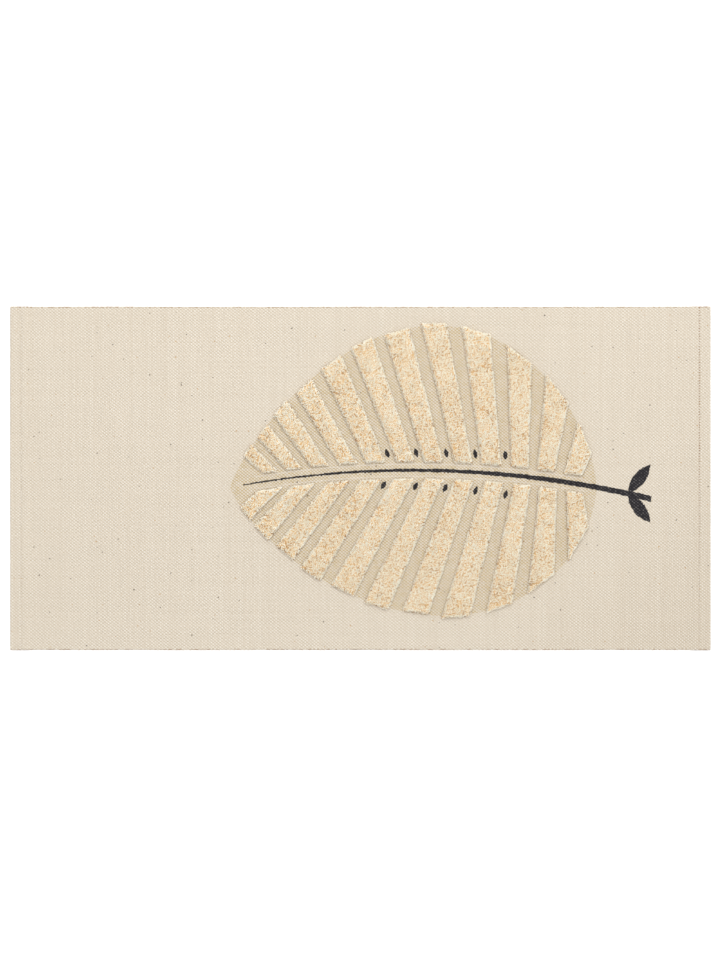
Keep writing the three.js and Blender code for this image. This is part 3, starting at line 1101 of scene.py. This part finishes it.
# %% Stitches along the two hems
STITCH_RADIUS = 0.55 * MM
STITCH_SINK = 0.1 * MM
BARE_AT_EDGES = 6.0 * MM
stitch_count = int((2 * cloth_half - BARE_AT_EDGES) / STITCH_PITCH)
stitch_y = (np.arange(stitch_count) - stitch_count // 2) * STITCH_PITCH
stitch_z = upper_z + CLOTH / 2 - SEAM_DENT - STITCH_SINK

stitches = {}
for side, name in ((+1, "hem_stitches_stalk_end"), (-1, "hem_stitches_bare_end")):
    places = np.column_stack([np.full(stitch_count, side * seam_x), stitch_y,
                              np.full(stitch_count, stitch_z)])
    sewn = yarn_row_tree(name, edge_yarn, (0, 0, math.pi / 2), 0.09, seed=31)
    stitches[name] = grown(point_row(name, places), sewn, Span=STITCH_PITCH * ARCH_SHARE,
                           Height=ARCH_HEIGHT, Curl=0.0, **{"Yarn radius": STITCH_RADIUS})
print("hem stitches:", 2 * stitch_count)

# %% [markdown]
# ## Floor and light
#
# The photograph has a pure white ground and soft light, a little stronger from its upper right:
# the ribs have a bright side there and a thin shade on the other. A wide pale floor, a sky that is
# brightest overhead, a soft sun and one large near lamp give that. The sky is bright again close to
# the floor, so that no horizon shows from the side. The colours are shown as they are, without a
# film-like curve.

# %% A pale studio
FLOOR_SIZE = 80.0
SKY_OVERHEAD = 1.50
SKY_SIDES = 0.45
SKY_LOW = 1.05
LOW_ENDS = (0.2, 0.4)  # heights over the horizon, where straight up is 1
OVERHEAD_STARTS = (0.5, 0.9)
SUN_STRENGTH = 0.58
SUN_SOFTNESS = math.radians(42)
SUN_FROM = (0.26, 0.25, 1.0)
LAMP_POWER = 18.0
LAMP_SIZE = 1.5
LAMP_PLACE = (0.15, 1.5, 2.0)

floor_paint = bpy.data.materials.new("floor_paint")
floor_paint.use_nodes = True
floor_shader = floor_paint.node_tree.nodes["Principled BSDF"]
floor_shader.inputs["Base Color"].default_value = (0.96, 0.96, 0.96, 1)
floor_shader.inputs["Roughness"].default_value = 0.9
floor_shader.inputs["Specular IOR Level"].default_value = 0.1
corner = FLOOR_SIZE / 2
floor = mesh_object("floor", [(-corner, -corner, 0), (corner, -corner, 0), (corner, corner, 0),
                              (-corner, corner, 0)], [(0, 1, 2, 3)], floor_paint)
floor.location.z = -0.2 * MM

world = bpy.data.worlds.new("soft_sky")
world.use_nodes = True
sky = world.node_tree
upward = sky.nodes.new("ShaderNodeSeparateXYZ")
sky.links.new(sky.nodes.new("ShaderNodeTexCoord").outputs["Generated"], upward.inputs["Vector"])
height = Field(sky, upward.outputs["Z"])
brightness = SKY_LOW + height.step_up(*LOW_ENDS) * (SKY_SIDES - SKY_LOW)
brightness = brightness + height.step_up(*OVERHEAD_STARTS) * (SKY_OVERHEAD - SKY_SIDES)
sky.nodes["Background"].inputs["Color"].default_value = (1, 1, 1, 1)
sky.links.new(brightness.socket, sky.nodes["Background"].inputs["Strength"])
scene.world = world


def aimed_light(name, kind, place):
    """A light at a place, turned towards the rug's middle."""
    light = bpy.data.objects.new(name, bpy.data.lights.new(name, kind))
    light.location = place
    light.rotation_mode = "QUATERNION"
    light.rotation_quaternion = (-Vector(place)).to_track_quat("-Z", "Y")
    scene.collection.objects.link(light)
    return light.data


sun = aimed_light("soft_sun", "SUN", SUN_FROM)
sun.energy = SUN_STRENGTH
sun.angle = SUN_SOFTNESS
lamp = aimed_light("near_lamp", "AREA", LAMP_PLACE)
lamp.energy = LAMP_POWER
lamp.size = LAMP_SIZE
scene.view_settings.view_transform = "Standard"
print("studio ready")

# %% [markdown]
# ## Handing the pieces over
#
# Every piece rides on the rug's one body, and a rib's loops carry the rib's name. The solids that
# the sheet and the ribs of loops stand for are hidden.

# %% Bodies, and hiding the solids
small_pieces = [*selvedges.values(), *stitches.values()]
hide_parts("ground_cloth")
for piece in [ground, *small_pieces]:
    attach(piece, "root")
for name, piece in pile_pieces.items():
    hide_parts(name)
    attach(piece, "root")
